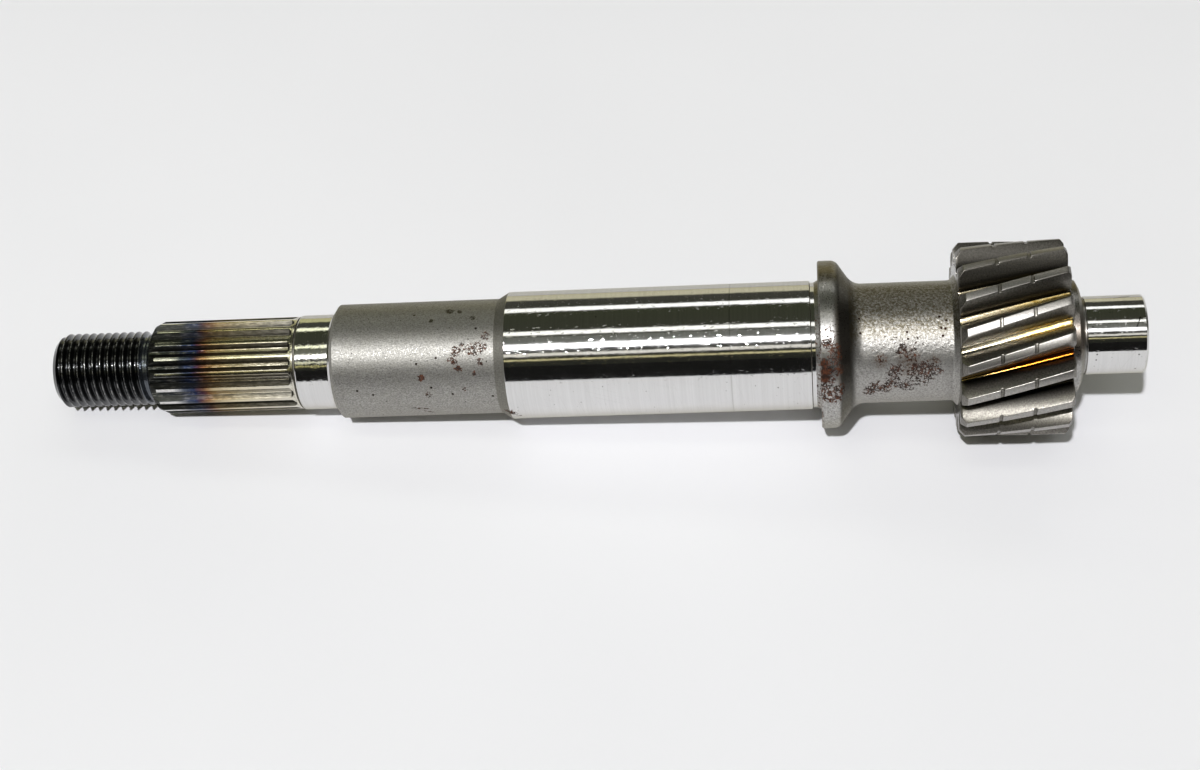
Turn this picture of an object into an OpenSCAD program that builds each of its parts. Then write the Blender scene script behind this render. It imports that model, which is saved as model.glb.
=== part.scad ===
// Transmission shaft with a helical pinion cut in the same piece.
// One forged and machined steel part that lies along X.
// The origin is the middle of the main journal and +X points to the pinion.
// Lengths are in millimetres and angles in degrees.

/* [Threaded end] */
// Diameter over the crests of the M12 x 1.25 thread
thread_d = 11.85; // [10.5:0.05:12.5]
// Pitch of the thread, right-hand
thread_pitch = 1.25; // [1:0.05:1.75]
// Depth of the thread from crest to root
thread_depth = 0.72; // [0.4:0.01:0.8]
// Width of a crest
thread_crest_w = 0.18; // [0.1:0.01:0.3]
// Width of a root
thread_root_w = 0.22; // [0.1:0.01:0.3]
// Turn of the thread about the axis
thread_turn = 102; // [0:1:360]
// Length of the threaded end up to its relief
thread_len = 14.1; // [8:0.1:24]
// Height and length of the bevel on the end face
thread_bevel = 0.9; // [0.3:0.05:1.5]
// Depth of the relief where the thread runs out
thread_relief_depth = 0.65; // [0.3:0.05:1]
// Width of the relief where the thread runs out
thread_relief_len = 1.3; // [0.8:0.1:3]

/* [Spline] */
// Number of spline teeth
spline_teeth = 18; // [12:1:24]
// Diameter over the spline teeth
spline_d = 14.66; // [13.8:0.02:15.2]
// Depth of the spline grooves
spline_depth = 0.83; // [0.5:0.01:1.1]
// Width of a groove at its floor
spline_floor_w = 0.53; // [0.3:0.01:0.8]
// Width of a tooth at its tip
spline_tip_w = 0.57; // [0.3:0.01:0.9]
// Length of the grooves with their run-out
spline_len = 23.1; // [14:0.1:40]
// Length over which the grooves rise to the surface
spline_runout = 1.9; // [0.8:0.1:4]
// Length of the bevel that leads a mating hub on
spline_bevel_len = 1.45; // [0.8:0.05:3]
// Height of the bevel that leads a mating hub on
spline_bevel_h = 1.13; // [0.6:0.01:1.4]
// Width of the plain ring behind the grooves
spline_ring_len = 1; // [0.5:0.1:3]
// Turn of the grooves about the axis
spline_turn = 6.76; // [0:0.01:20]

/* [Small journal] */
// Diameter of the small bearing journal
small_d = 15; // [14.5:0.1:16]
// Length of the small bearing journal
small_len = 4.9; // [3:0.1:12]
// Width of the thin grinding groove beside it
small_relief_len = 0.3; // [0.2:0.05:1]
// Depth of the thin grinding groove beside it
small_relief_depth = 0.35; // [0.1:0.05:0.6]

/* [Plain body] */
// Diameter of the turned body
body_d = 18; // [17.2:0.1:18.6]
// Length of the turned body
body_len = 25.15; // [12:0.05:50]
// Rise of the low bevel next to the small journal
body_step_h = 0.7; // [0.2:0.05:0.9]
// Length of the low bevel next to the small journal
body_step_len = 1; // [0.4:0.1:2]
// Length of the steeper bevel above it
body_bevel_len = 0.7; // [0.3:0.1:1.5]

/* [Main journal] */
// Diameter of the main bearing journal
main_d = 20; // [18.8:0.1:22]
// Length of the main bearing journal
main_len = 46.8; // [24:0.1:80]
// Slope of the cone that leads up to it
main_cone_angle = 30; // [15:1:60]
// Width of the grinding undercut at the collar
undercut_len = 1.3; // [0.8:0.05:3]
// Depth of the grinding undercut at the collar
undercut_depth = 0.3; // [0.1:0.05:0.6]

/* [Collar] */
// Diameter of the thrust collar
collar_d = 26; // [23.5:0.1:30]
// Width of the collar rim up to its sloping back
collar_rim_len = 2.75; // [1.4:0.05:5]
// Slope of the collar back
collar_back_angle = 56; // [35:1:75]
// Bevel on the edge of the thrust face
collar_bevel = 0.2; // [0.1:0.05:0.5]
// Rounding between rim and back
collar_round = 1; // [0.3:0.1:1.2]

/* [Neck] */
// Diameter of the forged neck
neck_d = 18.5; // [16.5:0.1:20]
// Rounding at the foot of the collar back
neck_fillet = 2.6; // [0.5:0.1:3.5]
// Rounding at the pinion
pinion_fillet = 1; // [0.3:0.1:1.5]

/* [Pinion] */
// Number of teeth
gear_teeth = 17; // [16:1:24]
// Normal module
gear_module = 1.5; // [1.4:0.05:2]
// Helix angle, left-hand
gear_helix = 14.45; // [0:0.05:30]
// Normal pressure angle
gear_pressure = 20; // [17.5:0.5:22.5]
// Profile shift, as a share of the module
gear_shift = 0.38; // [0.1:0.01:0.45]
// Height of the teeth over the pitch circle
gear_addendum = 1.78; // [1.4:0.01:2]
// Depth of the teeth under the pitch circle
gear_dedendum = 1.57; // [1.3:0.01:1.9]
// Radius where the flanks meet the tooth floor
gear_root_r = 0.5; // [0.2:0.05:0.55]
// Face width
gear_w = 16.6; // [13:0.1:30]
// Distance from the thrust face of the collar to the pinion
gear_start = 20.8; // [17:0.1:40]
// Turn of the teeth about the axis
gear_turn = 0.9; // [0:0.1:21]
// Height of the bevel on the tooth ends at the neck
gear_bevel_near_h = 0.95; // [0.2:0.05:1.3]
// Length of the bevel on the tooth ends at the neck
gear_bevel_near_len = 0.85; // [0.2:0.05:1.5]
// Height of the bevel on the tooth ends at the boss
gear_bevel_far_h = 0.65; // [0.2:0.05:1.3]
// Length of the bevel on the tooth ends at the boss
gear_bevel_far_len = 0.5; // [0.2:0.05:1.5]
// Distance from the face at the neck to the first ring groove in the tooth tips
ring_groove_a = 5.85; // [2:0.05:6.5]
// Distance from the face at the neck to the second ring groove
ring_groove_b = 10.8; // [7.5:0.05:12]
// Width of the ring grooves
ring_groove_w = 0.55; // [0.2:0.05:1]
// Depth of the ring grooves
ring_groove_depth = 0.35; // [0.1:0.05:0.8]

/* [Boss and end journal] */
// Diameter of the boss beside the pinion
boss_d = 17.2; // [14:0.1:20]
// Length of the straight part of the boss
boss_len = 1.5; // [0.5:0.1:4]
// Length of the cone on the boss
boss_cone_len = 0.9; // [0.4:0.1:3]
// Diameter of the end journal
end_d = 12; // [10:0.1:13]
// Length of the end journal
end_len = 9.05; // [5:0.05:20]
// Width of the grinding undercut at the boss
end_relief_len = 0.3; // [0.2:0.05:1.5]
// Depth of the grinding undercut at the boss
end_relief_depth = 0.2; // [0.16:0.01:0.5]
// Height and length of the bevel on the end
end_bevel = 0.35; // [0.1:0.05:1]

/* [Hidden] */

// Sides of a full circle and of the thread, and straight steps in a rounding, on a tooth flank and on its foot
circle_sides = 96;
thread_sides = 30;
rounding_steps = 6;
flank_steps = 4;
foot_steps = 2;

// Small overlap by which one tool reaches past the surface that it cuts
past = 0.3;

// How far the end of the thread stays under the surface of its relief
thread_inset = 0.1;

// How far the rounding at the pinion dips into its face, so that it meets the face at an edge
fillet_dip = 0.05;

// Radii of the turned sections
thread_r = thread_d / 2;
spline_r = spline_d / 2;
small_r = small_d / 2;
body_r = body_d / 2;
main_r = main_d / 2;
collar_r = collar_d / 2;
neck_r = neck_d / 2;
boss_r = boss_d / 2;
end_r = end_d / 2;

// Places along the axis, from the main journal to the threaded end
main_start = -main_len / 2;
body_end = main_start - (main_r - body_r) / tan(main_cone_angle);
body_start = body_end - body_len;
body_step = body_start - body_bevel_len;
small_end = body_step - body_step_len;
small_start = small_end - small_len;
ring_end = small_start - small_relief_len;
groove_end = ring_end - spline_ring_len;
spline_start = groove_end - spline_len;
thread_end = spline_start - thread_relief_len;
thread_start = thread_end - thread_len;

// Corners of the thread over one pitch, each with its place along the pitch and its radius
thread_corners = [
    [0, thread_r],
    [thread_crest_w, thread_r],
    [(thread_pitch + thread_crest_w - thread_root_w) / 2, thread_r - thread_depth],
    [(thread_pitch + thread_crest_w + thread_root_w) / 2, thread_r - thread_depth]
];
thread_stop = thread_end + past;
thread_stop_r = thread_r - thread_relief_depth - thread_inset;
thread_turns = ceil((thread_stop - thread_start) / thread_pitch) + 2;

// Places along the axis, from the main journal to the end journal
main_end = main_len / 2;
collar_start = main_end + undercut_len;
collar_corner = collar_start + collar_rim_len;
neck_start = collar_corner + (collar_r - neck_r) / tan(collar_back_angle);
gear_near = collar_start + gear_start;
gear_far = gear_near + gear_w;
boss_end = gear_far + boss_len;
cone_end = boss_end + boss_cone_len;
end_start = cone_end + end_relief_len;
end_end = end_start + end_len;

// Tooth form of the pinion in the plane square to the axis
pitch_r = gear_teeth * gear_module / cos(gear_helix) / 2;
tip_r = pitch_r + gear_addendum;
root_r = pitch_r - gear_dedendum;
plane_pressure = atan(tan(gear_pressure) / cos(gear_helix));
base_r = pitch_r * cos(plane_pressure);
tooth_w = gear_module / cos(gear_helix) * PI / 2
        + 2 * gear_shift * gear_module * tan(plane_pressure);
pitch_half = tooth_w / pitch_r * 90 / PI;
base_half = pitch_half + roll(plane_pressure);
gear_twist = gear_w * tan(gear_helix) / pitch_r * 180 / PI;

// Centre of the root rounding, as a radius and an angle from the flank
round_r = root_r + gear_root_r;
round_turn = asin(gear_root_r / round_r);
flank_foot_r = round_r * cos(round_turn);

// Places along the face of the pinion, each with the radius of the tooth tips there
gear_stations = concat(
    [
        [0, tip_r - gear_bevel_near_h],
        [gear_bevel_near_len, tip_r],
        [(gear_bevel_near_len + ring_groove_a) / 2, tip_r]
    ],
    ring_groove(ring_groove_a),
    [[(ring_groove_a + ring_groove_b) / 2, tip_r]],
    ring_groove(ring_groove_b),
    [
        [(ring_groove_b + gear_w - gear_bevel_far_len) / 2, tip_r],
        [gear_w - gear_bevel_far_len, tip_r],
        [gear_w, tip_r - gear_bevel_far_h]
    ]
);

// Involute function, in degrees
function roll(a) = tan(a) * 180 / PI - a;

// Half of the angle that a tooth spans at radius r
function half_at(r) = base_half - roll(acos(min(1, base_r / r)));

// Point at radius r and angle a
function polar(r, a) = [r * cos(a), r * sin(a)];

// Point on the root rounding, from the floor at t = 0 to the flank at t = 1
function round_point(t) =
    let (turn = base_half + round_turn)
    polar(round_r, turn) + polar(gear_root_r, turn + 180 + t * (90 - round_turn));

// One side of a tooth, from the floor up to radius top
function tooth_side(top) = concat(
    [for (i = [0 : foot_steps]) round_point(i / foot_steps)],
    [for (i = [1 : flank_steps])
        let (r = flank_foot_r + (top - flank_foot_r) * i / flank_steps)
        polar(r, half_at(r))]
);

// One tooth turned to angle a, running from its low side to its high side
function tooth(a, top) =
    let (side = tooth_side(top), last = len(side) - 1)
    [for (p = concat(
        [for (p = side) [p[0], -p[1]]],
        [for (i = [last : -1 : 0]) side[i]]))
        [p[0] * cos(a) - p[1] * sin(a), p[0] * sin(a) + p[1] * cos(a)]];

// Stations across a ring groove whose middle is at place
function ring_groove(place) = [
    [place - ring_groove_w / 2, tip_r],
    [place - ring_groove_w / 4, tip_r - ring_groove_depth],
    [place + ring_groove_w / 4, tip_r - ring_groove_depth],
    [place + ring_groove_w / 2, tip_r]
];

// Outline of all the teeth at one station, turned along the helix
function gear_outline(station) =
    let (turn = gear_turn - gear_twist * station[0] / gear_w)
    [for (i = [0 : gear_teeth - 1]) each
        [for (p = tooth(turn + (i + 0.5) * 360 / gear_teeth, station[1]))
            [p[0], p[1], gear_near + station[0]]]];

// Place along the axis of corner i of the thread on side j
function thread_place(i, j) =
    let (turn = floor(i / 4) - 1 + j / thread_sides - thread_turn / 360)
    thread_start + thread_corners[i % 4][0] + thread_pitch * turn;

// Radius of corner i at that place, held under the bevel at the start and under the run-out at the relief
function thread_radius(i, place) = min(
    thread_corners[i % 4][1],
    thread_r - thread_bevel + place - thread_start,
    thread_stop_r + max(0, thread_end - past - place)
);

// Number of corner i on side j among the points of the thread, where a corner past either end
// becomes the point of that end on the same side
function thread_point(i, j) =
    let (place = thread_place(i, j), side = j % thread_sides, rows = 4 * thread_turns)
    place <= thread_start ? rows * thread_sides + side
    : place >= thread_stop ? (rows + 1) * thread_sides + side
    : side * rows + (j < thread_sides ? i : i + 4);

// Point at radius r on side j of the thread
function thread_side(r, j, place) = let (p = polar(r, j * 360 / thread_sides)) [p[0], p[1], place];

// Points of a rounding of radius r at a corner, where u and v point from the corner along its sides
function rounding(corner, u, v, r) =
    let (
        half = acos(u * v) / 2,
        sweep = 180 - 2 * half,
        middle = corner + (u + v) / norm(u + v) * r / sin(half),
        first = (corner + u * r / tan(half) - middle) / sin(sweep),
        last = (corner + v * r / tan(half) - middle) / sin(sweep)
    )
    [for (i = [0 : rounding_steps])
        let (t = i / rounding_steps)
        middle + first * sin(sweep * (1 - t)) + last * sin(sweep * t)];

// Half section of the turned shaft without the pinion, radius against length
module shaft_section() {
    back_down = [-sin(collar_back_angle), cos(collar_back_angle)];
    polygon(concat(
        [
            [0, thread_end],
            [thread_r - thread_relief_depth, thread_end],
            [thread_r - thread_relief_depth, spline_start],
            [spline_r - spline_bevel_h, spline_start],
            [spline_r, spline_start + spline_bevel_len],
            [spline_r, ring_end],
            [small_r - small_relief_depth, ring_end],
            [small_r - small_relief_depth, small_start],
            [small_r, small_start],
            [small_r, small_end],
            [small_r + body_step_h, body_step],
            [body_r, body_start],
            [body_r, body_end],
            [main_r, main_start],
            [main_r, main_end],
            [main_r - undercut_depth, main_end],
            [main_r - undercut_depth, collar_start - undercut_len / 2],
            [main_r, collar_start],
            [collar_r - collar_bevel, collar_start],
            [collar_r, collar_start + collar_bevel]
        ],
        rounding([collar_r, collar_corner], [0, -1], back_down, collar_round),
        rounding([neck_r, neck_start], -back_down, [0, 1], neck_fillet),
        rounding([neck_r, gear_near + fillet_dip], [0, -1], [1, 0], pinion_fillet),
        [
            [boss_r, gear_near + past],
            [boss_r, boss_end],
            [end_r, cone_end],
            [end_r - end_relief_depth, cone_end],
            [end_r - end_relief_depth, end_start],
            [end_r, end_start],
            [end_r, end_end - end_bevel],
            [end_r - end_bevel, end_end],
            [0, end_end]
        ]
    ));
}

// Threaded end with a bevelled start, which runs out into its relief
module threaded_end() {
    rows = 4 * thread_turns;
    sides = thread_sides;
    start_ring = rows * sides;
    stop_ring = start_ring + sides;
    start_middle = stop_ring + sides;
    stop_middle = start_middle + 1;
    polyhedron(
        points = concat(
            [for (j = [0 : sides - 1]) for (i = [0 : rows - 1])
                let (place = thread_place(i, j))
                thread_side(thread_radius(i, place), j, place)],
            [for (j = [0 : sides - 1]) thread_side(thread_r - thread_bevel, j, thread_start)],
            [for (j = [0 : sides - 1]) thread_side(thread_stop_r, j, thread_stop)],
            [[0, 0, thread_start], [0, 0, thread_stop]]
        ),
        faces = concat(
            [for (j = [0 : sides - 1]) [start_middle, start_ring + j, start_ring + (j + 1) % sides]],
            [for (j = [0 : sides - 1]) [stop_middle, stop_ring + (j + 1) % sides, stop_ring + j]],
            [for (j = [0 : sides - 1]) for (i = [0 : rows - 2])
                let (
                    a = thread_point(i, j),
                    b = thread_point(i, j + 1),
                    c = thread_point(i + 1, j + 1),
                    d = thread_point(i + 1, j)
                )
                for (face = [[a, d, c], [a, c, b]])
                    if (face[0] != face[1] && face[1] != face[2] && face[0] != face[2]) face]
        )
    );
}

// Pinion with involute teeth, bevelled tooth ends and two ring grooves
module pinion() {
    outlines = [for (station = gear_stations) gear_outline(station)];
    n = len(outlines[0]);
    top = (len(outlines) - 1) * n;
    near_middle = top + n;
    far_middle = near_middle + 1;
    polyhedron(
        points = concat(
            [for (outline = outlines) each outline],
            [[0, 0, gear_near], [0, 0, gear_far]]
        ),
        faces = concat(
            [for (i = [0 : n - 1]) [near_middle, i, (i + 1) % n]],
            [for (i = [0 : n - 1]) [far_middle, top + (i + 1) % n, top + i]],
            [for (k = [0 : n : top - n]) for (i = [0 : n - 1]) each
                let (j = (i + 1) % n)
                [[k + i, k + n + j, k + j], [k + i, k + n + i, k + n + j]]]
        )
    );
}

// Tool for one spline groove, which rises out of the surface at its far end
module spline_tool() {
    pitch = PI * spline_d / spline_teeth;
    floor_half = spline_floor_w / 2;
    slope = ((pitch - spline_tip_w) / 2 - floor_half) / spline_depth;
    low = spline_r - spline_depth;
    height = spline_depth + past;
    top_half = floor_half + slope * height;
    // each ring is given by its place and by the height of the groove floor
    rings = [
        [spline_start - past, low],
        [groove_end - spline_runout, low],
        [groove_end, spline_r]
    ];
    polyhedron(
        points = [for (ring = rings) each [
            [ring[1], -floor_half, ring[0]],
            [ring[1] + height, -top_half, ring[0]],
            [ring[1] + height, top_half, ring[0]],
            [ring[1], floor_half, ring[0]]
        ]],
        faces = concat(
            [[0, 1, 2, 3], [11, 10, 9, 8]],
            [for (k = [0, 4]) for (i = [0 : 3])
                [k + i, k + i + 4, k + (i + 1) % 4 + 4, k + (i + 1) % 4]]
        )
    );
}

// The whole shaft, turned from its own axis onto X
module shaft() {
    color([0.62, 0.62, 0.61])
        rotate([0, 90, 0])
            difference() {
                union() {
                    rotate_extrude($fn = circle_sides)
                        shaft_section();
                    threaded_end();
                    pinion();
                }
                for (i = [0 : spline_teeth - 1])
                    rotate([0, 0, spline_turn + i * 360 / spline_teeth])
                        spline_tool();
            }
}

shaft();
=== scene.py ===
import math

import bpy
from mathutils import Matrix, Vector


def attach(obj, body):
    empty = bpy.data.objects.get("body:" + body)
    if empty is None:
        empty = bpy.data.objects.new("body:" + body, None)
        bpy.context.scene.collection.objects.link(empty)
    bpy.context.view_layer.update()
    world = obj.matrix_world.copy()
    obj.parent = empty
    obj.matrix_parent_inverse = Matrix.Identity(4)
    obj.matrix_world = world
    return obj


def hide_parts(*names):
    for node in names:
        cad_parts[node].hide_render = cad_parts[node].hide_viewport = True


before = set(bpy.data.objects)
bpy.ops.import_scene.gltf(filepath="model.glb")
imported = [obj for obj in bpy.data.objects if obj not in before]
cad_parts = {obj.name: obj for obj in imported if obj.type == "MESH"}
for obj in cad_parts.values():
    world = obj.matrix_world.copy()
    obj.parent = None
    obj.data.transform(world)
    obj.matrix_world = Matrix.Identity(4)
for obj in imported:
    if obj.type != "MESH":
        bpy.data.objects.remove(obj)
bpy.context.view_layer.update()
scene = bpy.context.scene

# One millimetre in the scene's metres
MM = 0.001
# Where the collar's thrust face lies along X. Distances along X below are measured from it, in millimetres.
FACE = 24.7

# Mesh code

# A corner that turns by less than this is straight
STRAIGHT = 1e-4
# Largest share of a side that the rounding of one corner takes up
REACH = 0.49
# Largest turn between two rings of a rounding
RING_TURN = math.radians(9)
# A radius below this lies on the axis
ON_AXIS = 1e-6


def make_object(name, verts, faces, normals=None, sharp=None, weighted=False):
    """A smooth mesh from places in millimetres. Edges that turn by more than sharp degrees stay sharp."""
    mesh = bpy.data.meshes.new(name)
    mesh.from_pydata([tuple(c * MM for c in v) for v in verts], [], faces)
    mesh.validate()
    mesh.polygons.foreach_set("use_smooth", [True] * len(mesh.polygons))
    if sharp is not None:
        mesh.set_sharp_from_angle(angle=math.radians(sharp))
    if normals is not None:
        mesh.normals_split_custom_set_from_vertices(normals)
    obj = bpy.data.objects.new(name, mesh)
    scene.collection.objects.link(obj)
    if weighted:
        mod = obj.modifiers.new("even_normals", "WEIGHTED_NORMAL")
        mod.keep_sharp = True
        # Over 50, large faces count for more than the small ones beside them
        mod.weight = 80
    return obj


def rounded(points):
    """Turns profile corners (x, r, rounding) into rings (x, r, normal along x, normal along r).

    A rounding of None splits the surface there.
    """
    rings = []
    count = len(points)
    for i, (x, r, rad) in enumerate(points):
        here = Vector((x, r))
        before = (here - Vector(points[i - 1][:2])) if i else None
        after = (Vector(points[i + 1][:2]) - here) if i + 1 < count else None
        if before is None or after is None:
            d = (after or before).normalized()
            rings.append((x, r, -d.y, d.x))
            continue
        a, b = before.normalized(), after.normalized()
        turn = math.atan2(a.x * b.y - a.y * b.x, a.dot(b))
        if rad is None:
            rings.append((x, r, -a.y, a.x))
            rings.append(None)
            rings.append((x, r, -b.y, b.x))
            continue
        if abs(turn) < STRAIGHT:
            rings.append((x, r, -a.y, a.x))
            continue
        reach = min(rad * math.tan(abs(turn) / 2), REACH * before.length, REACH * after.length)
        rad = reach / math.tan(abs(turn) / 2)
        side = 1 if turn > 0 else -1
        start = here - a * reach
        centre = start + Vector((-a.y, a.x)) * rad * side
        steps = max(3, math.ceil(abs(turn) / RING_TURN))
        for k in range(steps + 1):
            ang = turn * k / steps
            c, s = math.cos(ang), math.sin(ang)
            d = Vector((a.x * c - a.y * s, a.x * s + a.y * c))
            n = Vector((-d.y, d.x))
            p = centre - n * rad * side
            rings.append((p.x, p.y, n.x, n.y))
    return rings


def lathe(name, points, segments=360):
    """Turns a profile round the X axis."""
    verts, normals, faces = [], [], []
    last = None
    for ring in rounded(points):
        if ring is None:
            last = None
            continue
        x, r, nx, nr = ring
        size = math.hypot(nx, nr)
        nx, nr = nx / size, nr / size
        first = len(verts)
        if r < ON_AXIS:
            verts.append((x + FACE, 0, 0))
            normals.append((nx, 0, 0))
            now = (first, 1)
        else:
            for j in range(segments):
                a = math.tau * j / segments
                verts.append((x + FACE, r * math.cos(a), r * math.sin(a)))
                normals.append((nx, nr * math.cos(a), nr * math.sin(a)))
            now = (first, segments)
        if last is not None:
            p, p_count = last
            q, q_count = now
            for j in range(segments):
                k = (j + 1) % segments
                if p_count == 1:
                    faces.append((p, q + k, q + j))
                elif q_count == 1:
                    faces.append((p + j, p + k, q))
                else:
                    faces.append((p + j, p + k, q + k, q + j))
        last = now
    return make_object(name, verts, faces, normals=normals)


def loft(name, loops, sharp):
    """Closed loops of equal length, joined one after the next and capped."""
    n = len(loops[0])
    verts = [p for loop in loops for p in loop]
    faces = []
    for s in range(len(loops) - 1):
        for i in range(n):
            j = (i + 1) % n
            faces.append((s * n + i, s * n + j, (s + 1) * n + j, (s + 1) * n + i))
    faces.append(tuple(reversed(range(n))))
    faces.append(tuple(range((len(loops) - 1) * n, len(loops) * n)))
    return make_object(name, verts, faces, sharp=sharp, weighted=True)


def at(x, r, a):
    """Place at a distance from the thrust face, a radius and an angle round the axis."""
    return (x + FACE, r * math.cos(a), r * math.sin(a))


# Turned sections, as corners of (distance from the thrust face, radius, rounding)

# Plain ring behind the spline, small journal, shoulder, turned body, cone, main journal and undercut
middle = lathe(
    "shaft_middle",
    [
        (-82.14, 0, 0.0),
        (-82.14, 7.31, None),
        (-82.1, 7.33, 0.02),
        (-81.9, 7.33, 0.05),
        (-81.82, 7.15, 0.04),
        (-81.62, 7.15, 0.04),
        (-81.55, 7.42, 0.03),
        (-81.4, 7.5, 0.08),
        (-76.3, 7.5, 0.05),
        (-75.92, 7.78, 0.04),
        (-75.84, 8.12, 0.04),
        (-75.7, 8.2, 0.04),
        (-75.22, 9.0, 0.1),
        (-49.85, 9.0, 0.1),
        (-48.12, 10.0, 0.12),
        (-1.32, 10.0, 0.06),
        (-1.22, 9.7, 0.05),
        (-0.65, 9.7, 0.1),
        (-0.02, 10.02, 0.04),
        (0.0, 10.4, 0.01),
        (0.0, 12.8, 0.06),
        (0.2, 13.0, 0.06),
        (2.75, 13.0, 1.6),
        (5.28, 9.25, 2.6),
        (19.8, 9.25, 0.5),
        (20.1, 9.3, 0.5),
        (20.86, 10.1, None),
        (21.4, 9.0, 0.0),
        (21.4, 0, 0.0),
    ],
)

# Boss and end journal
end = lathe(
    "shaft_end",
    [
        (36.9, 0, 0.0),
        (36.9, 8.6, None),
        (38.85, 8.6, 0.25),
        (39.35, 7.6, 0.3),
        (39.75, 6.2, 0.1),
        (39.8, 5.82, 0.05),
        (40.05, 5.82, 0.04),
        (40.1, 5.93, 0.03),
        (40.2, 6.0, 0.05),
        (48.82, 6.0, 0.08),
        (49.15, 5.66, 0.06),
        (49.15, 0, 0.0),
    ],
)

# Relief between thread and spline
relief = lathe(
    "shaft_relief",
    [
        (-107.7, 0, 0.0),
        (-107.7, 5.2, None),
        (-107.1, 5.25, 0.3),
        (-105.95, 5.25, 0.2),
        (-105.66, 5.5, 0.08),
        (-105.64, 5.95, None),
        (-105.5, 0, 0.0),
    ],
    segments=192,
)

# Spline

SPLINE_R, SPLINE_DEPTH, SPLINE_TEETH = 7.33, 0.83, 18
# Half the width of a groove at its floor, and the width of a tooth at its tip
FLOOR_HALF, TIP_W = 0.265, 0.57
SPLINE_TURN = math.radians(6.76 - 90)
# Sideways run of a groove's wall for each millimetre of height
SLOPE = ((math.tau * SPLINE_R / SPLINE_TEETH - TIP_W) / 2 - FLOOR_HALF) / SPLINE_DEPTH
# Slopes of the front bevel, as (start, radius there, rise for each millimetre)
FRONT_SLOPES = [(-105.65, 5.95, 1.64), (-105.1, 6.85, 0.5)]
# Where the grooves start to rise to the surface, over which length, and the power of the curve
RISE_START, RISE_LEN, RISE_POWER = -82.75, 0.55, 1.2


def groove_half(top, low):
    """Half a groove from its middle to the middle of the tooth, as (angle, radius)."""
    middle_of_tooth = math.pi / SPLINE_TEETH
    if low >= top - 1e-4:
        # Past the run-out, the same number of points lies on the surface
        plain = [0, 0.012, 0.03, 0.04, 0.06, 0.08, 0.1, 0.12, 0.128, 0.14, 0.155, middle_of_tooth]
        return [(a, top) for a in plain]
    # Where the wall meets the surface, found by going back and forth between the two
    u = FLOOR_HALF
    for _ in range(20):
        v = math.sqrt(max(top * top - u * u, 1e-6))
        u = FLOOR_HALF + SLOPE * (v - low)
    out = [
        (0, low),
        (math.atan2(FLOOR_HALF * 0.5, low), low),
        (math.atan2(FLOOR_HALF * 0.8, low), low + 0.002),
    ]
    for t in (0.04, 0.1, 0.3, 0.6, 0.88, 0.95):
        uu, vv = FLOOR_HALF + (u - FLOOR_HALF) * t, low + (v - low) * t
        out.append((math.atan2(uu, vv), math.hypot(uu, vv)))
    edge = math.atan2(u, v)
    out += [(edge + 0.006, top - 0.012), (edge + 0.016, top), (middle_of_tooth, top)]
    return [(min(a, middle_of_tooth), min(r, top)) for a, r in out]


def spline_loop(x, top, low):
    """Outline of the whole spline at a distance from the thrust face."""
    half = groove_half(top, low)
    loop = []
    for i in range(SPLINE_TEETH):
        mid = SPLINE_TURN + math.tau * i / SPLINE_TEETH
        loop += [at(x, r, mid - a) for a, r in reversed(half[1:-1])]
        loop += [at(x, r, mid + a) for a, r in half]
    return loop


def spline_top(x):
    """Radius of the tooth tips."""
    return min(SPLINE_R, *(r + (x - start) * rise for start, r, rise in FRONT_SLOPES))


def spline_low(x):
    """Radius of the groove floors."""
    low = SPLINE_R - SPLINE_DEPTH
    t = (x - RISE_START) / RISE_LEN
    return low if t <= 0 else low + SPLINE_DEPTH * min(1.0, t) ** RISE_POWER


# The rings stand close together at the bevel and at the run-out
places = [
    -105.65, -105.6, -105.5, -105.35, -105.25, -105.15, -105.1, -105.05, -104.95, -104.8, -104.6, -104.4,
    -104.2, -104.14, -103.9,
]
places += [-103.0 + i for i in range(20)] + [-82.8 + 0.06 * i for i in range(11)] + [-82.14]
spline = loft("shaft_spline", [spline_loop(x, spline_top(x), spline_low(x)) for x in places], sharp=24)

# Thread

PITCH, THREAD_R, THREAD_START, THREAD_END = 1.25, 5.92, -121.38, -106.25
# Turns by which the crest's near edge starts before the +Y side
THREAD_TURN = 0.03
# Radius at each end, and the rise of the bevel there for each millimetre
START_R, START_RISE, END_R, END_RISE = 5.0, 0.98, 5.28, 1.1
# Steps round the axis
THREAD_STEPS = 144
# One turn of the thread, as (share of the pitch, height over the crest)
CREST = [
    (0.00, -0.035), (0.025, -0.008), (0.055, 0.0), (0.09, 0.0), (0.12, -0.008), (0.145, -0.035),
    (0.25, -0.26), (0.36, -0.5), (0.45, -0.685), (0.49, -0.715), (0.56, -0.725), (0.63, -0.715),
    (0.67, -0.685), (0.77, -0.48), (0.88, -0.24),
]


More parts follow.
